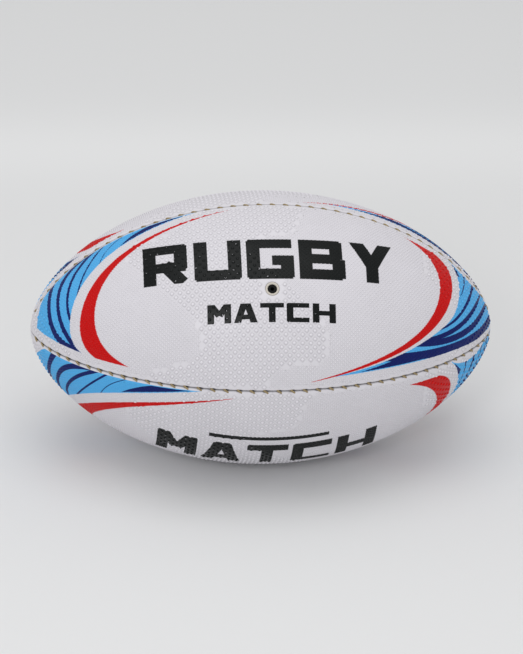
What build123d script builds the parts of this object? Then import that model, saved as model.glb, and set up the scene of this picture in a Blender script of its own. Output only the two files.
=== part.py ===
from build123d import *
import os
from math import atan2, degrees

os.makedirs("parts", exist_ok=True)

# A stitched four-panel rugby ball, in millimetres. X runs along the ball's long axis, the origin is its
# centre, and the four seams lie in the planes Y = 0 and Z = 0.

# Outer shape, inflated.
LENGTH = 280.0
DIAMETER = 165.0
TIP_FULLNESS = 0.116        # heights of the outline's control points, as shares of the waist radius
SHOULDER_FULLNESS = 0.912
SHOULDER_REACH = 0.938      # how far out the shoulder control points stand, as a share of the half length

# Panel wall: a rubber skin on woven plies. Its edges turn inwards at the seams.
SKIN_THICKNESS = 1.2
PLY_THICKNESS = 0.35
PLY_COUNT = 3
SEAM_GAP = 0.3          # between the facing skins of two panels
FLANGE_DEPTH = 6.0      # how far the turned-in edges reach, from the outer surface
TIP_BLUNT = 0.1         # taken off each tip, where the points of the four panels are cut blunt

# Seam stitching: one thread per seam, through both turned-in edges.
STITCH_PITCH = 7.7
STITCH_END_MARGIN = 12.0    # plain seam left at each tip, along the meridian
THREAD_RADIUS = 0.45
THREAD_TO_PLY = 0.1         # the thread lies this far off the plies
STITCH_JOIN_GAP = 0.3       # between one stitch's run and the next

# Bladder.
BLADDER_THICKNESS = 0.9
BLADDER_CLEARANCE = 0.1

# Valve, in the middle of one panel and a little nearer to its front seam.
VALVE_OFFSET = 2.5          # along the surface, from the panel's centre
RIM_RADIUS = 4.1
RIM_RECESS = 0.2            # housing rim below the skin's surface
RIM_CLEARANCE = 0.1         # housing in the skin, plies and patch
HOUSING_BODY_RADIUS = 6.0
HOUSING_DEPTH = 18.0        # from the outer surface
HOUSING_BASE_RADIUS = 11.0
HOUSING_BASE_THICKNESS = 1.5
PLUG_RADIUS = 2.7
PLUG_CLEARANCE = 0.05
PLUG_RECESS = 0.8           # plug's top below the outer surface
PLUG_LENGTH = 13.5
PLUG_FOOT_GAP = 0.3         # under the plug, in the housing
GROOVE_DEPTH = 0.25
GROOVE_WIDTH = 1.2
GROOVE_COUNT = 3
NEEDLE_RADIUS = 1.0
NEEDLE_DEPTH = 11.0
PATCH_RADIUS = 19.0
PATCH_THICKNESS = 0.3

# Worked out from the sizes above.
radius = DIAMETER / 2
ply_depths = [SKIN_THICKNESS + PLY_THICKNESS * i for i in range(PLY_COUNT + 1)]
wall = ply_depths[-1]
flange_side = SEAM_GAP / 2 + wall
stitch_depth = wall + THREAD_TO_PLY + THREAD_RADIUS
bladder_depth = wall + PATCH_THICKNESS + BLADDER_CLEARANCE
bladder_side = flange_side + THREAD_TO_PLY + 2 * THREAD_RADIUS + BLADDER_CLEARANCE
valve_tilt = 45 + degrees(VALVE_OFFSET / radius)

# The panels in order round the ball, as turns about X from the valve panel, which faces up and to -Y.
PANELS = {"valve_panel": 0, "front_panel": 90, "base_panel": 180, "rear_panel": 270}
SEAMS = {"front_seam": 0, "base_seam": 90, "rear_seam": 180, "top_seam": 270}


def meridian(depth):
    """The ball's outline from tip to tip, this far below the outer surface: one smooth Bezier curve."""
    tip = LENGTH / 2 - depth
    shoulder = tip * SHOULDER_REACH
    waist = radius - depth
    low = waist * TIP_FULLNESS
    high = waist * SHOULDER_FULLNESS
    # The middle control point is the one that brings the curve's own middle to the waist radius.
    middle = (64 * waist - 12 * low - 30 * high) / 20
    return Bezier((-tip, 0), (-tip, low), (-shoulder, high), (0, middle), (shoulder, high), (tip, low), (tip, 0))


def body_of_depth(depth):
    """Everything more than this depth below the outer surface."""
    outline = meridian(depth)
    return revolve(make_face([outline, Line(outline @ 1, outline @ 0)]), Axis.X)


def blunted(shape, depth):
    """The shape, this deep in the ball, with its two tips cut off flat."""
    return shape & Box(LENGTH - 2 * (depth + TIP_BLUNT), DIAMETER, DIAMETER)


def share(depth):
    """One panel's quarter of body_of_depth, cut right through to the axis."""
    outline = meridian(depth)
    section = Rot(X=90) * make_face([outline, Line(outline @ 1, outline @ 0)])
    return blunted(revolve(section, Axis.X, revolution_arc=90), depth)


def quarter(depth, side):
    """The same quarter, kept this far from the seam planes."""
    block = Box(LENGTH, DIAMETER, DIAMETER, align=(Align.CENTER, Align.MAX, Align.MIN))
    return share(depth) & (Pos(0, -side, side) * block)


def along_valve(shape):
    """Turns what was made along +Z onto the valve's axis."""
    return Rot(X=valve_tilt) * shape


def post(post_radius, top_depth, bottom_depth):
    """A round post on the valve's axis, between two depths below the outer surface."""
    length = bottom_depth - top_depth
    return along_valve(Pos(0, 0, radius - top_depth) * Cylinder(
        post_radius, length, align=(Align.CENTER, Align.CENTER, Align.MAX)))


def around(shape, turn):
    return Rot(X=turn) * shape


def save(shape, node):
    solids = shape.solids()
    result = solids[0] if len(solids) == 1 else Compound(solids)
    result.label = node
    export_step(result, f"parts/{node}.step")


# Panels. Each layer is the space between two nested quarters, hollowed so that only its turned-in
# edges reach further in than its own thickness.
hollow = blunted(body_of_depth(FLANGE_DEPTH), FLANGE_DEPTH)
valve_hole = post(RIM_RADIUS + RIM_CLEARANCE, -FLANGE_DEPTH, FLANGE_DEPTH)


def layer(outer_depth, inner_depth):
    outer = quarter(outer_depth, SEAM_GAP / 2 + outer_depth)
    inner = quarter(inner_depth, SEAM_GAP / 2 + inner_depth)
    return outer - inner - hollow


layers = {"skin": layer(0, SKIN_THICKNESS)}
for i in range(PLY_COUNT):
    layers[f"ply_{i + 1}"] = layer(ply_depths[i], ply_depths[i + 1])

for layer_name, shape in layers.items():
    for panel, turn in PANELS.items():
        piece = shape - valve_hole if panel == "valve_panel" else shape
        save(around(piece, turn), f"{panel}_{layer_name}")

# Seam threads. A stitch crosses the seam and runs half a pitch each way on both sides of it.
stitch_line = meridian(stitch_depth)
stitch_span = stitch_line.length - 2 * STITCH_END_MARGIN
stitch_count = int(stitch_span / STITCH_PITCH) + 1
run_length = STITCH_PITCH - STITCH_JOIN_GAP
run_side = flange_side + THREAD_TO_PLY + THREAD_RADIUS


def stitch():
    crossing = Cylinder(THREAD_RADIUS, 2 * run_side)
    run = Rot(Y=90) * Cylinder(THREAD_RADIUS, run_length)
    return crossing + Pos(0, 0, run_side) * run + Pos(0, 0, -run_side) * run


one_stitch = stitch()
stitches = []
for i in range(stitch_count):
    distance = stitch_line.length / 2 + (i - (stitch_count - 1) / 2) * STITCH_PITCH
    place = stitch_line.position_at(distance, position_mode=PositionMode.LENGTH)
    along = stitch_line.tangent_at(distance, position_mode=PositionMode.LENGTH)
    stitches.append(Pos(place.X, -place.Y, 0) * Rot(Z=-degrees(atan2(along.Y, along.X))) * one_stitch)

for seam, turn in SEAMS.items():
    save(around(Compound(stitches), turn), f"{seam}_thread")

# Bladder. It fills the ball inside the plies and is grooved where the turned-in edges press into it.
def bladder_quarter(extra):
    lobe = quarter(bladder_depth + extra, bladder_side + extra)
    return lobe + share(FLANGE_DEPTH + BLADDER_CLEARANCE + extra)


bladder_inside = bladder_depth + BLADDER_THICKNESS
bladder_wall = bladder_quarter(0) - bladder_quarter(BLADDER_THICKNESS)
valve_share = bladder_wall - post(RIM_RADIUS, 0, bladder_inside + BLADDER_THICKNESS)
other_shares = [around(bladder_wall, turn) for turn in PANELS.values() if turn]
save(valve_share.fuse(*other_shares), "bladder")

# Cloth patch round the valve hole, behind the plies.
patch = post(PATCH_RADIUS, 0, FLANGE_DEPTH) & (body_of_depth(wall) - body_of_depth(wall + PATCH_THICKNESS))
save(patch - valve_hole, "valve_patch")

# Valve housing: a rim and neck through the wall, a base bonded inside the bladder, and a body below.
base = post(HOUSING_BASE_RADIUS, 0, 2 * FLANGE_DEPTH) & (
    body_of_depth(bladder_inside) - body_of_depth(bladder_inside + HOUSING_BASE_THICKNESS))
neck = post(RIM_RADIUS, 0, HOUSING_DEPTH) & body_of_depth(RIM_RECESS)
housing_body = post(HOUSING_BODY_RADIUS, bladder_inside + HOUSING_BASE_THICKNESS / 2, HOUSING_DEPTH)
plug_well = post(PLUG_RADIUS + PLUG_CLEARANCE, -PLUG_RECESS, PLUG_RECESS + PLUG_LENGTH + PLUG_FOOT_GAP)
save(neck + base + housing_body - plug_well, "valve_housing")

# Valve plug: soft rubber, grooved to seal, with a blind channel for the needle.
plug = post(PLUG_RADIUS, PLUG_RECESS, PLUG_RECESS + PLUG_LENGTH)
plug -= post(NEEDLE_RADIUS, PLUG_RECESS, PLUG_RECESS + NEEDLE_DEPTH)
groove_spacing = PLUG_LENGTH / (GROOVE_COUNT + 1)
for i in range(GROOVE_COUNT):
    top = PLUG_RECESS + groove_spacing * (i + 1) - GROOVE_WIDTH / 2
    plug -= post(PLUG_RADIUS, top, top + GROOVE_WIDTH) - post(PLUG_RADIUS - GROOVE_DEPTH, top, top + GROOVE_WIDTH)
save(plug, "valve_plug")
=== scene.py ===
from bisect import bisect_left
from math import atan2, comb, cos, hypot, pi, radians, sin, sqrt

import bmesh
import bpy
from mathutils import Matrix, Vector


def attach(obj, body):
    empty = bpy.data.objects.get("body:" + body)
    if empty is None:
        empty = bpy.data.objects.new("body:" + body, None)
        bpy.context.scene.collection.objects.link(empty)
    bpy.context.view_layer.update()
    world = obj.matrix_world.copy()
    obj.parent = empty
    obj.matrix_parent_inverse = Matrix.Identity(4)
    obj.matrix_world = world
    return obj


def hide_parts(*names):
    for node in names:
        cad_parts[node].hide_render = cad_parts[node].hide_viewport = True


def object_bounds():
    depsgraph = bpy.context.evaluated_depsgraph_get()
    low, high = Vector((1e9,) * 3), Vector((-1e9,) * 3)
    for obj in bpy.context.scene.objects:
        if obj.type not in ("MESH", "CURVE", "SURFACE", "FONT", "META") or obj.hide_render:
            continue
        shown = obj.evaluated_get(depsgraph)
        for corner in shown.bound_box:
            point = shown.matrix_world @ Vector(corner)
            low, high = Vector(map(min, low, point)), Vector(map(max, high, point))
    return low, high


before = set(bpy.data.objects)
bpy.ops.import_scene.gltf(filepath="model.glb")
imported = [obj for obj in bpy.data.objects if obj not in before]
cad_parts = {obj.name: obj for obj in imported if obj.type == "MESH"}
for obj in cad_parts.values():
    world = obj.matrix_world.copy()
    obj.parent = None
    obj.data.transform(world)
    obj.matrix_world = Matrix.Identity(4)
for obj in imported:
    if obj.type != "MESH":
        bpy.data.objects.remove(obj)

cad_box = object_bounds()


# ---------------------------------------------------------------------------------------------------
# Panel skins. Each of the four is one leaf of vulcanised rubber with grip pimples moulded into its
# face, printed flat, and turned in along both long edges where it is stitched to its neighbours.
# ---------------------------------------------------------------------------------------------------

MM = 0.001
TIP_BLUNT = 0.1
HALF_LENGTH = cad_box[1][0] / MM + TIP_BLUNT
WAIST = cad_box[1][2] / MM
SKIN = 1.2
SEAM_GAP = 0.3
SEAM_ROLL = 1.15
EDGE_DEPTH = 6.0
VALVE_AT = (0.0, -2.5)
RIM_HOLE = 4.2

# The ball's outline from tip to tip, as a Bezier curve sampled by arc length.
OUTLINE_STEPS = 1600
TIP_FULLNESS, SHOULDER_FULLNESS, SHOULDER_REACH = 0.116, 0.912, 0.938
middle_height = (64 - 12 * TIP_FULLNESS - 30 * SHOULDER_FULLNESS) / 20
outline_controls = [
    (-1, 0), (-1, TIP_FULLNESS), (-SHOULDER_REACH, SHOULDER_FULLNESS), (0, middle_height),
    (SHOULDER_REACH, SHOULDER_FULLNESS), (1, TIP_FULLNESS), (1, 0)]


def outline_point(t, depth):
    weights = [comb(6, i) * t ** i * (1 - t) ** (6 - i) for i in range(7)]
    x = sum(w * c[0] for w, c in zip(weights, outline_controls))
    r = sum(w * c[1] for w, c in zip(weights, outline_controls))
    return x * (HALF_LENGTH - depth), r * (WAIST - depth)


def outline_at(depth):
    """The outline's points at this depth, and how far each is along it from its middle."""
    points = [outline_point(i / OUTLINE_STEPS, depth) for i in range(OUTLINE_STEPS + 1)]
    lengths = [0.0]
    for (x0, r0), (x1, r1) in zip(points, points[1:]):
        lengths.append(lengths[-1] + hypot(x1 - x0, r1 - r0))
    return points, [s - lengths[-1] / 2 for s in lengths]


outline, arc = outline_at(0)
HALF_ARC = arc[-1]


def station(u):
    """Where the outline is, this far along it from its middle: x, radius, and its outward normal."""
    u = max(-HALF_ARC + 0.01, min(HALF_ARC - 0.01, u))
    i = min(max(bisect_left(arc, u), 1), OUTLINE_STEPS)
    (x0, r0), (x1, r1) = outline[i - 1], outline[i]
    share = (u - arc[i - 1]) / (arc[i] - arc[i - 1])
    run = hypot(x1 - x0, r1 - r0)
    return x0 + (x1 - x0) * share, r0 + (r1 - r0) * share, -(r1 - r0) / run, (x1 - x0) / run


def half_width(u):
    return station(u)[1] * pi / 4


# Grip: a diagonal grid of cells, one pimple in each. In the fine patches a cell is split in four.
CELL = 3.5
SHEET_CELLS = 101
PLAIN_EDGE = 2.6
PLAIN_TIP = 8
WRAP_LIMIT = radians(80)
VALVE_REACH = 14
# A coarse cell's pimple is a stud and a fine one's a bead. Each step is how far in and how far up.
STUD_INSET, STUD_RADIUS = 0.75, 1.0
STUD_SIDE = (0.22, 0.34)
STUD_CROWN = (0.40, 0.17)
BEAD_INSET = 0.36
BEAD_CROWN = (0.24, 0.3)
# Painted shade round a bead's foot, as a share of a stud's.
BEAD_SHADE = 0.6


def is_fine(u, w):
    return sin(u / 27 + 2.4 + 0.7 * sin(w / 15) + 0.35 * sin((u + w) / 11)) < 0.1


def flat_leaf(cell, hole):
    """A flat sheet of diagonal cells that covers one panel, with a round hole for the valve."""
    leaf = bmesh.new()
    # The foot layer holds painted shade, strongest round each pimple's foot.
    leaf.verts.layers.float.new("foot")
    count = 2 * int(SHEET_CELLS * CELL / cell / 2)
    bmesh.ops.create_grid(leaf, x_segments=count, y_segments=count, size=count * cell / 2)
    bmesh.ops.rotate(leaf, verts=leaf.verts, cent=(0, 0, 0), matrix=Matrix.Rotation(radians(45), 3, "Z"))
    spare = []
    for face in leaf.faces:
        at = face.calc_center_median()
        past_seam = abs(at.y) > half_width(max(abs(at.x) - 2 * cell, 0)) + 0.6 * cell
        in_hole = hole and hypot(at.x - VALVE_AT[0], at.y - VALVE_AT[1]) < hole
        if abs(at.x) > HALF_ARC or past_seam or in_hole:
            spare.append(face)
    bmesh.ops.delete(leaf, geom=spare, context="FACES")
    return leaf


def in_grip(at):
    """True where the face has pimples: not along a seam's edge and not at the tips."""
    return abs(at.y) < half_width(at.x) - PLAIN_EDGE and abs(at.x) < HALF_ARC - PLAIN_TIP


def place_of(centre):
    return tuple(round(c, 2) for c in centre[:2])


def sharp_foot(leaf, faces, shade):
    """Marks the edge round each pimple's foot as sharp, and gives its points this much painted shade."""
    foot = leaf.verts.layers.float["foot"]
    for face in faces:
        for v in face.verts:
            v[foot] = shade
        for e in face.edges:
            e.smooth = False


def raise_step(leaf, faces, inset, height):
    bmesh.ops.inset_individual(leaf, faces=faces, thickness=inset, depth=height, use_even_offset=True)


def clear_shade(leaf, faces):
    foot = leaf.verts.layers.float["foot"]
    for v in {v for face in faces for v in face.verts}:
        v[foot] = 0


def raise_pimples(leaf):
    """Raises one round stud in each coarse cell, and four small beads in each fine cell."""
    coarse, fine = [], []
    for face in leaf.faces:
        at = face.calc_center_median()
        if in_grip(at):
            (fine if is_fine(at.x, at.y) else coarse).append(face)
    coarse_places = {place_of(f.calc_center_median()) for f in coarse}
    split_edges = list({e for f in fine for e in f.edges})
    bmesh.ops.subdivide_edges(leaf, edges=split_edges, cuts=1, use_grid_fill=True)
    whole_cell, quarter_cell = 0.9 * CELL ** 2, 0.3 * CELL ** 2
    coarse = [f for f in leaf.faces
              if place_of(f.calc_center_bounds()) in coarse_places and f.calc_area() > whole_cell]
    uncut = [e for e in {e for f in coarse for e in f.edges} if e.calc_length() > 0.75 * CELL]
    bmesh.ops.bisect_edges(leaf, edges=uncut, cuts=1)
    studded = set(coarse)
    small = [f for f in leaf.faces
             if f not in studded and f.calc_area() <= quarter_cell and in_grip(f.calc_center_median())]

    raise_step(leaf, coarse, STUD_INSET, 0)
    for face in coarse:
        centre = face.calc_center_bounds()
        for v in face.verts:
            v.co = centre + (v.co - centre).normalized() * STUD_RADIUS
    sharp_foot(leaf, coarse, 1)
    raise_step(leaf, coarse, *STUD_SIDE)
    clear_shade(leaf, coarse)
    raise_step(leaf, coarse, *STUD_CROWN)

    raise_step(leaf, small, BEAD_INSET, 0)
    sharp_foot(leaf, small, BEAD_SHADE)
    raise_step(leaf, small, *BEAD_CROWN)
    clear_shade(leaf, small)


def open_loop(mesh, near_valve):
    """The open edges round the valve hole, or all the others."""
    found = []
    for edge in mesh.edges:
        if edge.is_boundary:
            at = (edge.verts[0].co + edge.verts[1].co) / 2
            if (hypot(at.x - VALVE_AT[0], at.y - VALVE_AT[1]) < VALVE_REACH) == near_valve:
                found.append(edge)
    return found


def rim_hole(leaf, steps):
    """Fills in to a round hole for the valve's rim. Each step is a radius and a height."""
    first = steps[0]
    ring = bmesh.ops.create_circle(leaf, segments=48, radius=first[0],
                                   matrix=Matrix.Translation((*VALVE_AT, first[1])))["verts"]
    ring_set = set(ring)
    ring_edges = [e for e in leaf.edges if e.verts[0] in ring_set and e.verts[1] in ring_set]
    jagged = [e for e in open_loop(leaf, True) if e not in set(ring_edges)]
    bmesh.ops.bridge_loops(leaf, edges=jagged + ring_edges)
    for radius, height in steps[1:]:
        made = bmesh.ops.extrude_edge_only(leaf, edges=ring_edges)["geom"]
        ring_edges = [g for g in made if isinstance(g, bmesh.types.BMEdge) and g.is_boundary]
        for v in [g for g in made if isinstance(g, bmesh.types.BMVert)]:
            out = Vector((v.co.x - VALVE_AT[0], v.co.y - VALVE_AT[1])).normalized() * radius
            v.co = (VALVE_AT[0] + out.x, VALVE_AT[1] + out.y, height)


def wrap(leaf, lift):
    """Bends the flat leaf onto the ball. Its middle faces +Z, and flat x and y are kept as u and w."""
    layers = {name: leaf.verts.layers.float.new(name) for name in ("u", "w", "rise", "sink", "notch")}
    for v in leaf.verts:
        v[layers["u"]], v[layers["w"]], v[layers["rise"]] = v.co
        x, r, along, out = station(v.co.x)
        angle = max(-WRAP_LIMIT, min(WRAP_LIMIT, v.co.y / r))
        height = v.co.z + lift
        reach = max(r + out * height, 0.01)
        v.co = (x + along * height, reach * sin(angle), reach * cos(angle))
    return layers


def trim(leaf, side):
    """Cuts the leaf this far short of both seam planes. It has been turned, so they are y = 0 and z = 0."""
    for point, normal in (((0, 0, side), (0, 0, -1)), ((0, -side, 0), (0, 1, 0))):
        everything = leaf.verts[:] + leaf.edges[:] + leaf.faces[:]
        bmesh.ops.bisect_plane(leaf, geom=everything, dist=1e-5, plane_co=point, plane_no=normal,
                               clear_outer=True)
    bmesh.ops.remove_doubles(leaf, verts=leaf.verts, dist=1e-3)


STITCHES = 42
STITCH_PITCH = 7.7
STITCH_DEPTH = 2.8
NOTCH_REACH = 1.7
NOTCH_PULL = 0.55
inner_arc = outline_at(STITCH_DEPTH)[1]
stitch_stations = [
    arc[bisect_left(inner_arc, (i - (STITCHES - 1) / 2) * STITCH_PITCH)] for i in range(STITCHES)]


def stitch_notch(u):
    """How much a stitch pulls the edge of a panel back here, from 0 to 1."""
    near = min(abs(u - at) for at in stitch_stations)
    return max(0.0, 1 - (near / NOTCH_REACH) ** 2)


def spot_key(v):
    return tuple(round(c, 4) for c in v.co)


def turn_in(leaf, side, roll, depth, layers, skip):
    """Rolls the trimmed edges inwards and carries them down to the given depth."""
    rim = [e for e in leaf.edges if e.is_boundary and not skip(e)]
    if roll:
        bmesh.ops.bisect_edges(leaf, edges=[e for e in rim if e.calc_length() > 1.6], cuts=1)
        rim = [e for e in leaf.edges if e.is_boundary and not skip(e)]
    rim_points = {v for e in rim for v in e.verts}
    ways = {}
    for v in rim_points:
        on_z = abs(v.co.z - side) < 1e-3
        on_y = abs(v.co.y + side) < 1e-3
        x, r, along, out = station(v[layers["u"]])
        spread = hypot(v.co.y, v.co.z)
        inward_y = 0 if on_y else -out * v.co.y / spread
        inward_z = 0 if on_z else -out * v.co.z / spread
        inward = Vector((-along, inward_y, inward_z))
        ways[spot_key(v)] = (inward.normalized(), Vector((0, float(on_y), -float(on_z))))
    spot = {v: (v.co.copy(), *ways[spot_key(v)]) for v in rim_points}

    # Each step is how far across, how far down, and how much rubber has passed.
    steps = []
    if roll:
        for a in (pi / 8, pi / 4, 3 * pi / 8, pi / 2):
            steps.append((roll * sin(a), roll * (1 - cos(a)), roll * a))
    for share in (0.5, 1.0):
        straight = (depth - roll) * share
        steps.append((roll, roll + straight, roll * pi / 2 + straight))
    for across, down, passed in steps:
        made = bmesh.ops.extrude_edge_only(leaf, edges=rim)["geom"]
        rim = [g for g in made if isinstance(g, bmesh.types.BMEdge) and g.is_boundary]
        new_spot = {}
        for v in [g for g in made if isinstance(g, bmesh.types.BMVert)]:
            old = next(n for e in v.link_edges for n in (e.other_vert(v),) if n in spot)
            start, inward, sideways = spot[old]
            notch = stitch_notch(v[layers["u"]]) if roll else 0
            reach = across - NOTCH_PULL * notch * across / roll if roll else across
            v.co = start + sideways * reach + inward * down
            v[layers["sink"]] = passed
            v[layers["notch"]] = notch
            new_spot[v] = (start, inward, sideways)
        spot = new_spot
    return rim


# The bake map's bands from its foot up: the inner face, the two turned-in edges, the pimpled face.
BAKE_EDGE = 0.01
INNER_BAND = (0.01, 0.08, 76)
TURNED_BAND, TURNED_STEP, TURNED_HIGH = 0.11, 0.04, 0.03
FACE_BAND = (0.21, 0.78, 68)


def bake_spot(u, w, sink, inner, turned):
    """Where a point of the skin lies in its bake map."""
    across = BAKE_EDGE + (1 - 2 * BAKE_EDGE) * (u / HALF_ARC + 1) / 2
    if turned and not inner:
        first = TURNED_BAND + (TURNED_STEP if w > 0 else 0)
        return across, first + TURNED_HIGH * sink / (EDGE_DEPTH + 1)
    foot, high, half = INNER_BAND if inner else FACE_BAND
    beyond = w + (sink if w > 0 else -sink)
    return across, foot + high * (beyond / half + 1) / 2


def round_valve(edge):
    """True for an edge round the valve's hole, once the leaf is bent and turned to its quadrant."""
    at = edge.verts[0].co
    near_middle = at.length < 1.2 * WAIST and abs(at.x) < VALVE_REACH and abs(at.y + at.z) < VALVE_REACH
    return near_middle and at.z > 20 and at.y < -20


def panel_mesh(name, turn, valve):
    """One whole skin: its pimpled face, its turned-in edges and its inner face, in metres."""
    to_quadrant = Matrix.Rotation(radians(45), 3, "X")

    def near(edge):
        return valve and round_valve(edge)

    face = flat_leaf(CELL, 7.6 if valve else 0)
    raise_pimples(face)
    if valve:
        rim_hole(face, [(5.2, 0), (4.75, -0.03), (4.4, -0.2), (RIM_HOLE, -0.5), (RIM_HOLE, -SKIN)])
    layers = wrap(face, 0)
    bmesh.ops.rotate(face, verts=face.verts, cent=(0, 0, 0), matrix=to_quadrant)
    trim(face, SEAM_GAP / 2 + SEAM_ROLL)
    turn_in(face, SEAM_GAP / 2 + SEAM_ROLL, SEAM_ROLL, EDGE_DEPTH, layers, near)

    back = flat_leaf(2 * CELL, 10.5 if valve else 0)
    if valve:
        rim_hole(back, [(RIM_HOLE, 0)])
    back_layers = wrap(back, -SKIN)
    for v in back.verts:
        v[back_layers["rise"]] = -1.0
    bmesh.ops.rotate(back, verts=back.verts, cent=(0, 0, 0), matrix=to_quadrant)
    trim(back, SEAM_GAP / 2 + SKIN)
    turn_in(back, SEAM_GAP / 2 + SKIN, 0, EDGE_DEPTH - SKIN, back_layers, near)
    bmesh.ops.reverse_faces(back, faces=back.faces)
    carried = bpy.data.meshes.new("inner_face")
    back.to_mesh(carried)
    back.free()
    face.from_mesh(carried)
    bpy.data.meshes.remove(carried)

    edges = [e for e in face.edges if e.is_boundary]
    bmesh.ops.bridge_loops(face, edges=[e for e in edges if not near(e)])
    if valve:
        bmesh.ops.bridge_loops(face, edges=[e for e in edges if near(e)])
    bmesh.ops.triangulate(face, faces=[f for f in face.faces if len(f.verts) > 4])
    bmesh.ops.recalc_face_normals(face, faces=face.faces)
    bmesh.ops.rotate(face, verts=face.verts, cent=(0, 0, 0), matrix=Matrix.Rotation(radians(turn), 3, "X"))
    bmesh.ops.scale(face, verts=face.verts, vec=(MM, MM, MM))

    u_at, w_at, rise_at, sink_at = (face.verts.layers.float[n] for n in ("u", "w", "rise", "sink"))
    print_map = face.loops.layers.uv.new("print")
    edge_map = face.loops.layers.uv.new("margins")
    bake_map = face.loops.layers.uv.new("OFBake")
    for f in face.faces:
        inner = min(v[rise_at] for v in f.verts) < -0.9
        turned = max(v[sink_at] for v in f.verts) > SEAM_ROLL * pi / 2 + 0.1
        f.smooth = True
        for loop in f.loops:
            u, w, sink = loop.vert[u_at], loop.vert[w_at], loop.vert[sink_at]
            width = half_width(u)
            loop[print_map].uv = (u, w)
            loop[edge_map].uv = (width + w - (sink if w < 0 else 0), width - w - (sink if w > 0 else 0))
            loop[bake_map].uv = bake_spot(u, w, sink, inner, turned)
    mesh = bpy.data.meshes.new(name)
    face.to_mesh(mesh)
    face.free()
    return mesh


# Print. Nodes that draw in the leaf's own flat millimetres: a gap below 0 is inside a shape.
INK_EDGE = 0.22


def desk(tree):
    """A maker of Math nodes for one material."""
    def work(kind, *values, clamp=False):
        node = tree.nodes.new("ShaderNodeMath")
        node.operation = kind
        node.use_clamp = clamp
        for socket, value in zip(node.inputs, values):
            if isinstance(value, (int, float)):
                socket.default_value = value
            else:
                tree.links.new(value, socket)
        return node.outputs[0]
    return work


def turned(work, u, w, at, tilt):
    """Flat coordinates measured from a point, along and across a direction."""
    du = work("SUBTRACT", u, at[0])
    dw = work("SUBTRACT", w, at[1])
    c, s = cos(radians(tilt)), sin(radians(tilt))
    along = work("MULTIPLY_ADD", du, c, work("MULTIPLY", dw, s))
    across = work("MULTIPLY_ADD", dw, c, work("MULTIPLY", du, -s))
    return along, across


def oval_gap(work, u, w, at, long_radius, short_radius, tilt):
    along, across = turned(work, u, w, at, tilt)
    size = work("ADD", work("POWER", work("DIVIDE", along, long_radius), 2),
                work("POWER", work("DIVIDE", across, short_radius), 2))
    return work("MULTIPLY", work("SUBTRACT", work("SQRT", size), 1), short_radius)


def round_gap(work, u, w, at, radius):
    du = work("SUBTRACT", u, at[0])
    dw = work("SUBTRACT", w, at[1])
    far = work("SQRT", work("ADD", work("MULTIPLY", du, du), work("MULTIPLY", dw, dw)))
    return work("SUBTRACT", far, radius)


def sweep_gap(work, u, w, at, tilt, bend, width):
    """A bent stripe of even width, along a parabola."""
    along, across = turned(work, u, w, at, tilt)
    off = work("MULTIPLY_ADD", work("MULTIPLY", across, across), -bend, along)
    slope = work("SQRT", work("MULTIPLY_ADD", work("MULTIPLY", across, across), 4 * bend * bend, 1))
    return work("SUBTRACT", work("ABSOLUTE", work("DIVIDE", off, slope)), width / 2)


def bar_gap(work, u, w, start, end, width):
    """A straight stroke with square ends."""
    du, dw = end[0] - start[0], end[1] - start[1]
    length = hypot(du, dw)
    middle = ((start[0] + end[0]) / 2, (start[1] + end[1]) / 2)
    along, across = turned(work, u, w, middle, atan2(dw, du) * 180 / pi)
    return work("MAXIMUM", work("SUBTRACT", work("ABSOLUTE", along), length / 2),
                work("SUBTRACT", work("ABSOLUTE", across), width / 2))


def union(work, gaps):
    gaps = list(gaps)
    while len(gaps) > 1:
        pairs = [gaps[i:i + 2] for i in range(0, len(gaps), 2)]
        gaps = [work("MINIMUM", *pair) if len(pair) == 2 else pair[0] for pair in pairs]
    return gaps[0]


def between_arcs(work, u, w, arcs):
    outer_at, outer_radius, inner_at, inner_radius = arcs
    return work("MAXIMUM", round_gap(work, u, w, outer_at, outer_radius),
                work("MULTIPLY", round_gap(work, u, w, inner_at, inner_radius), -1))


def covered(work, gap):
    return work("MULTIPLY_ADD", gap, -1 / INK_EDGE, 0.5, clamp=True)


# Block capitals in a box 28 wide and 27 high, as strokes between points of that box.
LETTER_HIGH, LETTER_STEP = 27.0, 31.0
UPRIGHT, LEVEL = 8.0, 6.6
CAPITALS = {
    "R": [((4, 0), (4, 27)), ((0, 23.7), (26, 23.7)), ((0, 11), (26, 11)), ((23, 9), (23, 26)),
          ((13, 13), (24, 0))],
    "U": [((4, 1), (4, 27)), ((24, 1), (24, 27)), ((1, 3.3), (27, 3.3))],
    "G": [((4, 1), (4, 26)), ((1, 23.7), (27, 23.7)), ((1, 3.3), (27, 3.3)), ((24, 1), (24, 14)),
          ((15, 12), (28, 12))],
    "B": [((4, 0), (4, 27)), ((0, 23.7), (25, 23.7)), ((0, 13.5), (25, 13.5)), ((0, 3.3), (26, 3.3)),
          ((22.5, 13.5), (22.5, 26)), ((24, 1), (24, 13.5))],
    "Y": [((3, 30), (14, 11)), ((25, 30), (14, 11)), ((14, 0), (14, 13))],
    "M": [((4, 0), (4, 27)), ((24, 0), (24, 27)), ((4, 27), (14, 11)), ((24, 27), (14, 11))],
    "A": [((4, -1), (12.5, 28)), ((24, -1), (15.5, 28)), ((7, 8), (21, 8))],
    "T": [((0, 23.7), (28, 23.7)), ((14, 0), (14, 23))],
    "C": [((4, 1), (4, 26)), ((1, 23.7), (27, 23.7)), ((1, 3.3), (27, 3.3))],
    "H": [((4, 0), (4, 27)), ((24, 0), (24, 27)), ((4, 13.5), (24, 13.5))],
}


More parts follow.
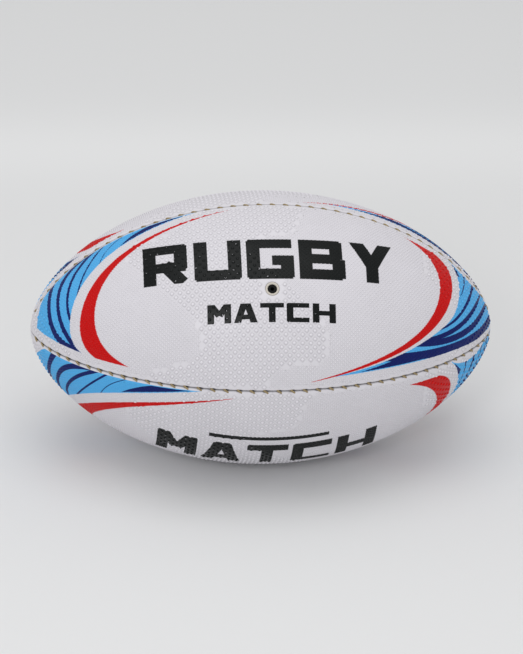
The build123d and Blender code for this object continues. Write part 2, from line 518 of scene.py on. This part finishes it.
def block_word(work, u, w, word, left, foot, wide, high):
    """A word in heavy block capitals, each cut off level at the top and foot of its box."""
    across = work("MULTIPLY", work("SUBTRACT", u, left), 1 / wide)
    up = work("MULTIPLY", work("SUBTRACT", w, foot), 1 / high)
    gaps = []
    for place, letter in enumerate(word):
        start = place * LETTER_STEP
        for (x0, y0), (x1, y1) in CAPITALS[letter]:
            thick = LEVEL if y0 == y1 else UPRIGHT
            gaps.append(bar_gap(work, across, up, (start + x0, y0), (start + x1, y1), thick))
    half = LETTER_HIGH / 2
    tall = work("SUBTRACT", work("ABSOLUTE", work("SUBTRACT", up, half)), half)
    return work("MAXIMUM", union(work, gaps), tall)


# The left end's artwork. A stripe is its middle, tilt, bend and width. An oval is its centre, two
# radii and tilt, and a round its centre and radius. The red band lies between two ovals, and the sky
# field lies outside a third, within a round at the tip.
RED_OUTER = ((-8.5, 8.6), 114.2, 52.0, 13.7)
RED_INNER = ((56.8, 3.9), 166.8, 69.2, 5.6)
RED_MARGIN = 6.9
RED_TAIL = 23
FIELD_INNER = ((-28.4, 15.0), 103.7, 46.5, 18.5)
FIELD_END = ((-117.0, -13.0), 44.2)
FIELD_END_FROM = -141.0
FIELD_FOOT = (118, -22)
NAVY_WEDGE = ((-39.3, -8.4), 68.8)
STRIPES = [
    ((-145.1, -2.5), 14.5, 0.0185, 3.3), ((-137.4, 8.0), -7.0, 0.019, 2.8), ((-129.4, 0.0), 8.0, 0.020, 2.0),
    ((-121.3, -12.6), 20.0, 0.0187, 1.1), ((-105.9, 20.0), -4.5, 0.0187, 0.45)]
LOWER_MARGIN, UPPER_MARGIN = 7.3, 1.8
SKY_RIM = 0.5

# At the right end the stripes fan out of one wide wedge. Each lies between two arcs, given as the
# centre and radius of its outer edge and then of its inner edge.
FAN = [
    ((109.6, 21.4), 23.5, (104.6, 21.7), 27.3), ((82.2, 39.7), 64.2, (78.2, 40.8), 66.0),
    ((73.2, 58.7), 90.0, (69.9, 64.6), 94.0), ((80.5, 63.7), 95.6, (77.9, 70.3), 99.0),
    ((55.2, 120.3), 163.7, (48.6, 136.2), 175.7)]
WEDGE = ((0.0, 216.3), 272.3, (-23.2, 158.4), 222.6)
FAN_FIELD_BOW = ((90.6, 12.8), 35.8)
FAN_FIELD_TAIL = ((-15.3, 139.6), 200.9)
FAN_TAIL_FROM = 109.5
FAN_FIELD_FOOT = ((-27.4, 300.8), 361.2)
FAN_FIELD_TOP = ((164.6, 72.7), 59.1)
FAN_LOWER_MARGIN, FAN_UPPER_MARGIN = 5.0, 0.8
FAN_POINT = ((121, 30), (127, 20), 3.0)

WHITE = (0.705, 0.688, 0.73)
RED = (0.58, 0.0012, 0.0015)
SKY = (0.088, 0.43, 0.82)
NAVY = (0.0008, 0.010, 0.125)
BLACK = (0.0045, 0.006, 0.006)
# Ink rubs off above this height of a pimple, where the specks are denser than this, by this share.
RUBBED_ABOVE, RUBBED_SPECK, RUBBED_SHARE = 0.40, 0.64, 0.6


def mix_colour(tree, share, first, second):
    node = tree.nodes.new("ShaderNodeMix")
    node.data_type = "RGBA"
    tree.links.new(share, node.inputs["Factor"])
    for socket, value in ((node.inputs[6], first), (node.inputs[7], second)):
        if isinstance(value, tuple):
            socket.default_value = (*value, 1)
        else:
            tree.links.new(value, socket)
    return node.outputs[2]


def noise(tree, where, scale, detail=3.0, roughness=0.55):
    node = tree.nodes.new("ShaderNodeTexNoise")
    node.inputs["Scale"].default_value = scale
    node.inputs["Detail"].default_value = detail
    node.inputs["Roughness"].default_value = roughness
    tree.links.new(where, node.inputs["Vector"])
    return node.outputs["Fac"]


def new_material(name):
    """A new node material: the tree, its shader, Object coordinates and a maker of Math nodes."""
    material = bpy.data.materials.new(name)
    material.use_nodes = True
    tree = material.node_tree
    shader = tree.nodes["Principled BSDF"]
    where = tree.nodes.new("ShaderNodeTexCoord").outputs["Object"]
    return material, tree, shader, where, desk(tree)


def bump(tree, shader, height, distance, strength=1.0):
    node = tree.nodes.new("ShaderNodeBump")
    node.inputs["Strength"].default_value = strength
    node.inputs["Distance"].default_value = distance
    tree.links.new(height, node.inputs["Height"])
    tree.links.new(node.outputs["Normal"], shader.inputs["Normal"])


def printed_rubber(name, words):
    material, tree, shader, where, work = new_material(name)

    def flat(map_name):
        node = tree.nodes.new("ShaderNodeUVMap")
        node.uv_map = map_name
        split = tree.nodes.new("ShaderNodeSeparateXYZ")
        tree.links.new(node.outputs["UV"], split.inputs["Vector"])
        return split.outputs["X"], split.outputs["Y"]

    u, w = flat("print")
    low, high = flat("margins")

    def flipped(gap):
        return work("MULTIPLY", gap, -1)

    def within(*gaps):
        """The part that is inside every one of these shapes."""
        shared = gaps[0]
        for gap in gaps[1:]:
            shared = work("MAXIMUM", shared, gap)
        return shared

    # The red band's right half is its left half turned half way round. The stripes are not.
    left_u = flipped(work("ABSOLUTE", u))
    left_w = flipped(work("MULTIPLY", w, work("SIGN", u)))
    on_right = work("GREATER_THAN", u, 0)
    lower = work("MULTIPLY_ADD", work("SUBTRACT", high, low), on_right, low)
    upper = work("MULTIPLY_ADD", work("SUBTRACT", low, high), on_right, high)

    red_gap = within(oval_gap(work, left_u, left_w, *RED_OUTER),
                     flipped(oval_gap(work, left_u, left_w, *RED_INNER)),
                     work("SUBTRACT", RED_MARGIN, lower), work("ADD", left_u, RED_TAIL))

    end_round = round_gap(work, left_u, left_w, *FIELD_END)
    past_end = work("MINIMUM", end_round, work("SUBTRACT", FIELD_END_FROM, left_u))
    past_foot = work("MINIMUM", work("ADD", left_u, FIELD_FOOT[0]), work("SUBTRACT", FIELD_FOOT[1], left_w))
    left_field = within(flipped(oval_gap(work, left_u, left_w, *FIELD_INNER)),
                        work("SUBTRACT", LOWER_MARGIN, lower), work("SUBTRACT", UPPER_MARGIN, upper),
                        past_end, past_foot)
    stripes = union(work, [sweep_gap(work, left_u, left_w, *stripe) for stripe in STRIPES])
    wedge = within(round_gap(work, left_u, left_w, *NAVY_WEDGE), work("ADD", left_field, SKY_RIM))
    left_navy = within(work("MINIMUM", stripes, wedge), left_field)

    past_tail = work("MINIMUM", flipped(round_gap(work, u, w, *FAN_FIELD_TAIL)),
                     work("SUBTRACT", FAN_TAIL_FROM, u))
    right_field = within(round_gap(work, u, w, *FAN_FIELD_FOOT),
                         flipped(round_gap(work, u, w, *FAN_FIELD_TOP)),
                         flipped(round_gap(work, u, w, *FAN_FIELD_BOW)), past_tail,
                         work("SUBTRACT", FAN_UPPER_MARGIN, high), work("SUBTRACT", FAN_LOWER_MARGIN, low))
    fan = [between_arcs(work, u, w, arcs) for arcs in FAN]
    slits = union(work, [between_arcs(work, u, w, (*FAN[i + 1][2:], *FAN[i][:2])) for i in (2, 3)])
    fan_wedge = within(between_arcs(work, u, w, WEDGE), flipped(slits),
                       flipped(round_gap(work, u, w, *FAN[2][2:])), work("ADD", right_field, SKY_RIM))
    point = bar_gap(work, u, w, *FAN_POINT)
    right_navy = within(union(work, fan + [fan_wedge, point]), right_field)

    def either_end(left, right):
        on_left = work("SUBTRACT", 1, on_right)
        return work("ADD", work("MULTIPLY", left, on_left), work("MULTIPLY", right, on_right))

    field_gap = either_end(left_field, right_field)
    navy_gap = either_end(left_navy, right_navy)
    ink_gap = words(work, u, w)

    # Wear: the print is rubbed off in specks on the tops of the pimples, and the white is a little soiled.
    # The white also gets painted shade round each pimple's foot and painted light on its top.
    rise = tree.nodes.new("ShaderNodeAttribute")
    rise.attribute_name = "rise"
    height = rise.outputs["Fac"]
    speckle = noise(tree, where, 900, 2)
    rubbed = work("MULTIPLY", work("GREATER_THAN", height, RUBBED_ABOVE),
                  work("GREATER_THAN", speckle, RUBBED_SPECK))
    kept = work("SUBTRACT", 1, work("MULTIPLY", rubbed, RUBBED_SHARE))
    cloud = noise(tree, where, 28, 4)
    grime = noise(tree, where, 160, 3)
    soil_and_painted_light = work("ADD", work("MULTIPLY", work("SUBTRACT", cloud, 0.5), 0.09),
                work("MULTIPLY", work("SUBTRACT", grime, 0.5), 0.05))
    # Painted shade round each pimple's foot, read from the foot layer.
    foot = tree.nodes.new("ShaderNodeAttribute")
    foot.attribute_name = "foot"
    soil_and_painted_light = work("ADD", soil_and_painted_light, work("MULTIPLY", foot.outputs["Fac"], 0.19))
    # Painted light: each pimple's top is painted lighter the higher it stands.
    soil_and_painted_light = work("SUBTRACT", soil_and_painted_light, work("MULTIPLY", height, 0.15))
    # Painted shade in the groove of each seam, darkest where a thread goes in.
    to_seam = work("MINIMUM", low, high)
    in_groove = work("MULTIPLY_ADD", to_seam, -1.1, 1.1, clamp=True)
    notch = tree.nodes.new("ShaderNodeAttribute")
    notch.attribute_name = "notch"
    groove_painted_shade = work("MULTIPLY", in_groove, work("MULTIPLY_ADD", notch.outputs["Fac"], 0.4, 0.35))
    shade = work("SUBTRACT", 1.0, work("ADD", soil_and_painted_light, groove_painted_shade))

    colour = mix_colour(tree, covered(work, field_gap), WHITE, SKY)
    colour = mix_colour(tree, covered(work, navy_gap), colour, NAVY)
    colour = mix_colour(tree, covered(work, red_gap), colour, RED)
    colour = mix_colour(tree, work("MULTIPLY", covered(work, ink_gap), kept), colour, BLACK)
    tint = tree.nodes.new("ShaderNodeHueSaturation")
    tree.links.new(colour, tint.inputs["Color"])
    tree.links.new(shade, tint.inputs["Value"])
    tree.links.new(tint.outputs["Color"], shader.inputs["Base Color"])

    gloss = work("MULTIPLY_ADD", grime, 0.16, 0.24)
    tree.links.new(gloss, shader.inputs["Roughness"])
    shader.inputs["Specular IOR Level"].default_value = 0.17
    grain = work("ADD", noise(tree, where, 2600, 2), work("MULTIPLY", noise(tree, where, 420, 3), 1.2))
    bump(tree, shader, grain, 0.00005, 0.6)
    return material


def valve_words(work, u, w):
    big = block_word(work, u, w, "RUGBY", -76.5, 3.5, 1.0, 1.0)
    small = block_word(work, u, w, "MATCH", -38.5, -22.5, 0.5, 0.42)
    return work("MINIMUM", big, small)


def plain_words(work, u, w):
    word = block_word(work, u, w, "MATCH", -67, -9.5, 0.88, 1.1)
    line = bar_gap(work, u, w, (-36, 27), (36, 27), 3.4)
    return work("MINIMUM", word, line)


valve_print = printed_rubber("printed_rubber_valve_side", valve_words)
plain_print = printed_rubber("printed_rubber_plain_side", plain_words)

PANELS = {
    "valve_panel": (0, True, valve_print), "front_panel": (90, False, plain_print),
    "base_panel": (180, False, valve_print), "rear_panel": (270, False, plain_print)}
for panel, (turn, valve, material) in PANELS.items():
    skin = bpy.data.objects.new(f"{panel}_rubber", panel_mesh(f"{panel}_rubber", turn, valve))
    bpy.context.scene.collection.objects.link(skin)
    skin.data.materials.append(material)
    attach(skin, "ball")
    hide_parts(f"{panel}_skin")


# ---------------------------------------------------------------------------------------------------
# Seam threads. Waxed polyester thread, twisted from two yarns, sews each pair of turned-in edges
# together. Only the short slanted crossings show, down in the groove between two panels.
# ---------------------------------------------------------------------------------------------------

THREAD_RADIUS = 0.45
THREAD_SIDES = 8
BULGE, STITCH_BULGE, UNEVEN = 1.15, 0.18, 0.04
# One stitch from end to end: how far along the seam, to its side, and below the surface.
STITCH_PATH = [
    (-3.6, 2.9, 2.85), (-2.6, 2.9, 2.8), (-2.0, 2.6, 2.4), (-1.7, 1.8, 1.5), (-1.45, 1.0, 0.75),
    (-1.05, 0.5, 0.3), (-0.45, 0.05, 0.1), (0.45, -0.6, 0.1), (1.05, -1.1, 0.3), (1.45, -1.55, 0.75),
    (1.7, -2.1, 1.5), (2.0, -2.6, 2.4), (2.6, -2.9, 2.8), (3.6, -2.9, 2.85)]


def thread_mesh(name, turn):
    sewn = bmesh.new()
    along_at = sewn.verts.layers.float.new("along")
    round_at = sewn.verts.layers.float.new("round")
    for stitch, middle in enumerate(stitch_stations):
        path = []
        for along, side, depth in STITCH_PATH:
            x, r, along_out, out = station(middle + along)
            path.append(Vector((x - depth * along_out, -(r - depth * out), side)))
        ring = bmesh.ops.create_circle(sewn, segments=THREAD_SIDES, radius=THREAD_RADIUS)["verts"]
        flat = [v.co.copy() for v in ring]
        order = {v: i for i, v in enumerate(ring)}
        edges = [e for e in sewn.edges if e.verts[0] in order and e.verts[1] in order]
        ends = [edges]
        length = 0.0
        for i, at in enumerate(path):
            before, after = path[max(i - 1, 0)], path[min(i + 1, len(path) - 1)]
            facing = (after - before).to_track_quat("Z", "Y")
            if i:
                length += (at - path[i - 1]).length
                made = bmesh.ops.extrude_edge_only(sewn, edges=edges)["geom"]
                edges = [g for g in made if isinstance(g, bmesh.types.BMEdge) and g.is_boundary]
                fresh = [g for g in made if isinstance(g, bmesh.types.BMVert)]
                order = {v: next(order[n] for e in v.link_edges for n in (e.other_vert(v),) if n in order)
                         for v in fresh}
            middle_swell = STITCH_BULGE * sin(pi * i / (len(path) - 1))
            squeeze = BULGE + middle_swell + UNEVEN * sin(3.1 * i + stitch)
            for v, place in order.items():
                v.co = at + facing @ (flat[place] * squeeze)
                v[along_at] = length
                v[round_at] = place / THREAD_SIDES
        ends.append(edges)
        for end in ends:
            bmesh.ops.edgeloop_fill(sewn, edges=end)
    bmesh.ops.recalc_face_normals(sewn, faces=sewn.faces)
    bmesh.ops.rotate(sewn, verts=sewn.verts, cent=(0, 0, 0), matrix=Matrix.Rotation(radians(turn), 3, "X"))
    bmesh.ops.scale(sewn, verts=sewn.verts, vec=(MM, MM, MM))
    yarn_map = sewn.loops.layers.uv.new("yarn")
    for f in sewn.faces:
        f.smooth = True
        for loop in f.loops:
            loop[yarn_map].uv = (loop.vert[round_at], loop.vert[along_at])
    mesh = bpy.data.meshes.new(name)
    sewn.to_mesh(mesh)
    sewn.free()
    return mesh


thread_material, tree, shader, where, work = new_material("waxed_thread")
yarn = tree.nodes.new("ShaderNodeUVMap")
yarn.uv_map = "yarn"
split = tree.nodes.new("ShaderNodeSeparateXYZ")
tree.links.new(yarn.outputs["UV"], split.inputs["Vector"])
turns = work("MULTIPLY_ADD", split.outputs["Y"], 1.1, work("MULTIPLY", split.outputs["X"], 2.0))
twist = work("MULTIPLY", turns, 2 * pi)
ply = work("MULTIPLY_ADD", work("SINE", twist), 0.5, 0.5)
fuzz = noise(tree, where, 1800, 3)
dirt = noise(tree, where, 60, 2)
light_yarn = mix_colour(tree, fuzz, (0.40, 0.29, 0.13), (0.60, 0.48, 0.26))
# Painted shade: the yarn is painted darker in the grooves between its twisted plies.
yarn_and_painted_shade = mix_colour(tree, work("MULTIPLY", work("SUBTRACT", 1, ply), 0.7), light_yarn, (0.10, 0.065, 0.03))
worn_yarn = mix_colour(tree, work("MULTIPLY", dirt, 0.35), yarn_and_painted_shade, (0.07, 0.055, 0.04))
tree.links.new(worn_yarn, shader.inputs["Base Color"])
tree.links.new(work("MULTIPLY_ADD", fuzz, 0.25, 0.5), shader.inputs["Roughness"])
bump(tree, shader, work("ADD", ply, work("MULTIPLY", fuzz, 0.4)), 0.00012, 0.8)

SEAMS = {"front_seam": 0, "base_seam": 90, "rear_seam": 180, "top_seam": 270}
for seam, turn in SEAMS.items():
    thread = bpy.data.objects.new(f"{seam}_stitching", thread_mesh(f"{seam}_stitching", turn))
    bpy.context.scene.collection.objects.link(thread)
    thread.data.materials.append(thread_material)
    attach(thread, "ball")
    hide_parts(f"{seam}_thread")


# ---------------------------------------------------------------------------------------------------
# Valve housing. Moulded tan gum rubber, vulcanised to the bladder. Its round lip fills the hole in
# the panel, its neck passes the wall, and its flange lies on the inside of the bladder.
# ---------------------------------------------------------------------------------------------------

VALVE_TILT = 45 - VALVE_AT[1] / WAIST * 180 / pi
# Half of its section: the radius, and the height above the ball's surface.
HOUSING_SECTION = [
    (0, -14.6), (2.35, -14.6), (2.75, -14.2), (2.75, -9.0), (2.75, -4.0), (2.75, -1.0), (2.81, -0.62),
    (3.0, -0.36), (3.35, -0.22), (3.7, -0.24), (3.95, -0.4), (4.1, -0.75), (4.1, -2.0), (4.1, -3.56),
    (5.0, -3.56), (7.0, -3.56), (9.0, -3.56), (10.6, -3.6), (11.0, -3.9), (10.95, -4.75), (10.5, -5.02),
    (8.0, -5.05), (6.6, -5.05), (6.15, -5.25), (6.0, -5.7), (6.0, -11.0), (6.0, -17.4), (5.8, -17.85),
    (5.3, -18.0), (0, -18.0)]
# The flange is bent to the bladder's curve: what is this far out and no deeper than this.
BEND_FROM = 4.2
FLANGE_FOOT = -5.3
SPIN_STEPS = 56


def spun(name, section, bend_from=None):
    """A round piece spun from half of its section, and stood on the valve's axis."""
    turned_piece = bmesh.new()
    points = [turned_piece.verts.new((r, 0, z)) for r, z in section]
    edges = [turned_piece.edges.new(pair) for pair in zip(points, points[1:])]
    bmesh.ops.spin(turned_piece, geom=points + edges, cent=(0, 0, 0), axis=(0, 0, 1), angle=2 * pi,
                   steps=SPIN_STEPS, use_merge=True)
    bmesh.ops.remove_doubles(turned_piece, verts=turned_piece.verts, dist=1e-4)
    if bend_from:
        for v in turned_piece.verts:
            if hypot(v.co.x, v.co.y) > bend_from and v.co.z > FLANGE_FOOT:
                x, r, along, out = station(v.co.x)
                v.co.z -= WAIST - sqrt(r * r - v.co.y * v.co.y)
    for f in turned_piece.faces:
        f.smooth = True
    bmesh.ops.recalc_face_normals(turned_piece, faces=turned_piece.faces)
    bmesh.ops.translate(turned_piece, verts=turned_piece.verts, vec=(0, 0, WAIST))
    bmesh.ops.rotate(turned_piece, verts=turned_piece.verts, cent=(0, 0, 0),
                     matrix=Matrix.Rotation(radians(VALVE_TILT), 3, "X"))
    bmesh.ops.scale(turned_piece, verts=turned_piece.verts, vec=(MM, MM, MM))
    mesh = bpy.data.meshes.new(name)
    turned_piece.to_mesh(mesh)
    turned_piece.free()
    thing = bpy.data.objects.new(name, mesh)
    bpy.context.scene.collection.objects.link(thing)
    return thing


gum, tree, shader, where, work = new_material("gum_rubber")
mottle = noise(tree, where, 350, 4)
dusty = noise(tree, where, 1500, 2)
gum_colour = mix_colour(tree, mottle, (0.56, 0.52, 0.45), (0.68, 0.65, 0.60))
gum_colour = mix_colour(tree, work("MULTIPLY", dusty, 0.25), gum_colour, (0.30, 0.23, 0.15))
tree.links.new(gum_colour, shader.inputs["Base Color"])
tree.links.new(work("MULTIPLY_ADD", mottle, 0.2, 0.42), shader.inputs["Roughness"])
bump(tree, shader, dusty, 0.00004, 0.5)

housing = spun("gum_valve_housing", HOUSING_SECTION, BEND_FROM)
housing.data.materials.append(gum)
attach(housing, "ball")
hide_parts("valve_housing")


# ---------------------------------------------------------------------------------------------------
# Valve plug. A soft black rubber post that is pushed into the housing and gripped by its grooves. The
# needle goes down its blind channel. It is the one piece that can be pulled out.
# ---------------------------------------------------------------------------------------------------

PLUG_TOP = -0.8
PLUG_FOOT = -14.3
PLUG_RADIUS = 2.7
GROOVE_RADIUS, GROOVE_HALF = 2.45, 0.4
GROOVES = [PLUG_TOP - (PLUG_TOP - PLUG_FOOT) / 4 * (i + 1) for i in range(3)]
plug_section = [(0, -11.8), (0.6, -11.75), (1.0, -11.4), (1.0, -6.0), (1.0, -1.15), (1.12, -0.93),
                (1.4, -0.82), (2.0, PLUG_TOP), (2.35, -0.84), (2.6, -0.98), (PLUG_RADIUS, -1.25)]
for level in GROOVES:
    plug_section += [
        (PLUG_RADIUS, level + 0.62), (2.66, level + 0.52), (GROOVE_RADIUS, level + GROOVE_HALF),
        (GROOVE_RADIUS, level - GROOVE_HALF), (2.66, level - 0.52), (PLUG_RADIUS, level - 0.62)]
plug_section += [
    (PLUG_RADIUS, PLUG_FOOT + 0.6), (2.55, PLUG_FOOT + 0.2), (2.1, PLUG_FOOT), (0, PLUG_FOOT)]

soft_black, tree, shader, where, work = new_material("soft_black_rubber")
lint = noise(tree, where, 900, 3)
rubber_colour = mix_colour(tree, lint, (0.0035, 0.0035, 0.004), (0.008, 0.008, 0.008))
shader.inputs["Specular IOR Level"].default_value = 0.12
tree.links.new(rubber_colour, shader.inputs["Base Color"])
tree.links.new(work("MULTIPLY_ADD", lint, 0.25, 0.5), shader.inputs["Roughness"])
bump(tree, shader, noise(tree, where, 2500, 2), 0.00003, 0.5)

plug = spun("rubber_valve_plug", plug_section)
plug.data.materials.append(soft_black)
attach(plug, "plug")
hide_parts("valve_plug")


# ---------------------------------------------------------------------------------------------------
# Backing plies and valve patch. Plain-woven polyester and cotton cloth, rubbered together behind each
# skin; the round patch strengthens the wall where the valve passes.
# ---------------------------------------------------------------------------------------------------

YARN_PITCH = 0.7


def dress(node, material):
    """A CAD node kept as it is, with this material on its object."""
    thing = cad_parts[node]
    for place in thing.material_slots:
        place.link = "OBJECT"
        place.material = material


cloth, tree, shader, where, work = new_material("woven_cloth")
split = tree.nodes.new("ShaderNodeSeparateXYZ")
tree.links.new(where, split.inputs["Vector"])
angle = work("ARCTAN2", split.outputs["Y"], split.outputs["Z"])
weft = work("MULTIPLY", split.outputs["X"], pi / (YARN_PITCH * MM))
warp = work("MULTIPLY", angle, round(pi * WAIST / YARN_PITCH / 2) * 2)
over = work("GREATER_THAN", work("MULTIPLY", work("SINE", weft), work("SINE", warp)), 0)
warp_yarn = work("ABSOLUTE", work("SINE", warp))
weft_yarn = work("ABSOLUTE", work("SINE", weft))
under = work("SUBTRACT", 1, over)
weave = work("ADD", work("MULTIPLY", over, warp_yarn), work("MULTIPLY", under, weft_yarn))
slub = noise(tree, where, 260, 3)
# Painted shade: each yarn is painted darker towards its edges and in the gaps between yarns.
cloth_colour = mix_colour(tree, weave, (0.30, 0.27, 0.22), (0.58, 0.545, 0.47))
cloth_colour = mix_colour(tree, work("MULTIPLY", slub, 0.45), cloth_colour, (0.42, 0.33, 0.20))
tree.links.new(cloth_colour, shader.inputs["Base Color"])
tree.links.new(work("MULTIPLY_ADD", slub, 0.2, 0.7), shader.inputs["Roughness"])
bump(tree, shader, weave, 0.0001, 0.7)
for panel in PANELS:
    for ply_number in (1, 2, 3):
        dress(f"{panel}_ply_{ply_number}", cloth)
dress("valve_patch", cloth)


# ---------------------------------------------------------------------------------------------------
# Bladder. Dipped natural latex, one closed bag that is blown up against the plies. It is cured to a
# cloudy amber, with a fine powder bloom on it.
# ---------------------------------------------------------------------------------------------------

latex, tree, shader, where, work = new_material("dipped_latex")
runs = noise(tree, where, 35, 4)
bloom = noise(tree, where, 420, 3)
latex_colour = mix_colour(tree, runs, (0.46, 0.28, 0.115), (0.62, 0.43, 0.21))
latex_colour = mix_colour(tree, work("MULTIPLY", bloom, 0.35), latex_colour, (0.70, 0.62, 0.50))
tree.links.new(latex_colour, shader.inputs["Base Color"])
tree.links.new(work("MULTIPLY_ADD", bloom, 0.3, 0.3), shader.inputs["Roughness"])
bump(tree, shader, work("ADD", bloom, runs), 0.00008, 0.4)
dress("bladder", latex)


# ---------------------------------------------------------------------------------------------------
# Stage: a pale paper floor with one soft band of painted light across it behind the ball, two soft lights in
# a bright room, and the camera.
# ---------------------------------------------------------------------------------------------------

FLOOR_HALF = 6.0
LIGHT_BAND_AT = 0.44
LIGHT_BAND_SOFT = 0.06
FLAT_PAPER, LIT_BAND_PAPER = (0.775, 0.78, 0.785), (0.83, 0.835, 0.84)
ROOM_LIGHT = 0.64

stage = bmesh.new()
bmesh.ops.create_grid(stage, x_segments=4, y_segments=4, size=FLOOR_HALF,
                      matrix=Matrix.Translation((0, 0, cad_box[0][2])))
stage_mesh = bpy.data.meshes.new("paper_floor")
stage.to_mesh(stage_mesh)
stage.free()
floor = bpy.data.objects.new("paper_floor", stage_mesh)
bpy.context.scene.collection.objects.link(floor)
paper, tree, shader, where, work = new_material("plain_paper")
shader.inputs["Roughness"].default_value = 0.85
split = tree.nodes.new("ShaderNodeSeparateXYZ")
tree.links.new(where, split.inputs["Vector"])
# Painted light: the paper is painted brighter along a soft band behind the ball.
past_light_band = work("DIVIDE", work("SUBTRACT", split.outputs["Y"], LIGHT_BAND_AT), LIGHT_BAND_SOFT)
painted_light_band = work("EXPONENT", work("MULTIPLY", work("MULTIPLY", past_light_band, past_light_band), -1))
tree.links.new(mix_colour(tree, painted_light_band, FLAT_PAPER, LIT_BAND_PAPER), shader.inputs["Base Color"])
floor.data.materials.append(paper)

world = bpy.data.worlds.new("soft_room")
world.use_nodes = True
room = world.node_tree.nodes["Background"]
room.inputs["Color"].default_value = (1, 1, 1, 1)
room.inputs["Strength"].default_value = ROOM_LIGHT
bpy.context.scene.world = world
bpy.context.scene.view_settings.view_transform = "Standard"


def soft_light(name, at, aim, size, power):
    lamp = bpy.data.lights.new(name, "AREA")
    lamp.shape = "SQUARE"
    lamp.size = size
    lamp.energy = power
    thing = bpy.data.objects.new(name, lamp)
    thing.location = at
    thing.rotation_euler = (Vector(aim) - Vector(at)).to_track_quat("-Z", "Y").to_euler()
    bpy.context.scene.collection.objects.link(thing)


soft_light("overhead_softbox", (-0.1, -0.3, 1.5), (0, 0, 0), 1.3, 7.5)
soft_light("front_softbox", (-0.6, -1.9, 1.2), (0, 0, 0), 0.45, 8.5)

# The camera looks at the ball's centre from above its front. Lean is how far the valve panel's middle
# stands above the line of sight, yaw how far the ball's long axis turns away, and roll how far it tilts.
LEAN, YAW, ROLL = radians(17.55), radians(4.78), radians(0.5)
DISTANCE = 16.23 * HALF_LENGTH * MM
LENS, SENSOR = 257.9, 36

lens = bpy.data.cameras.new("camera")
lens.lens = LENS
lens.sensor_width = SENSOR
lens.sensor_fit = "HORIZONTAL"
lens.clip_end = 20
camera = bpy.data.objects.new("camera", lens)
ball_in_view = (Matrix.Rotation(ROLL, 3, "Z") @ Matrix.Rotation(YAW, 3, "Y") @ Matrix.Rotation(-LEAN, 3, "X"))
panel_in_row = Matrix.Rotation(radians(45), 3, "X")
facing = panel_in_row @ ball_in_view.transposed()
camera.matrix_world = Matrix.Translation(facing @ Vector((0, 0, DISTANCE))) @ facing.to_4x4()
bpy.context.scene.collection.objects.link(camera)
bpy.context.scene.camera = camera
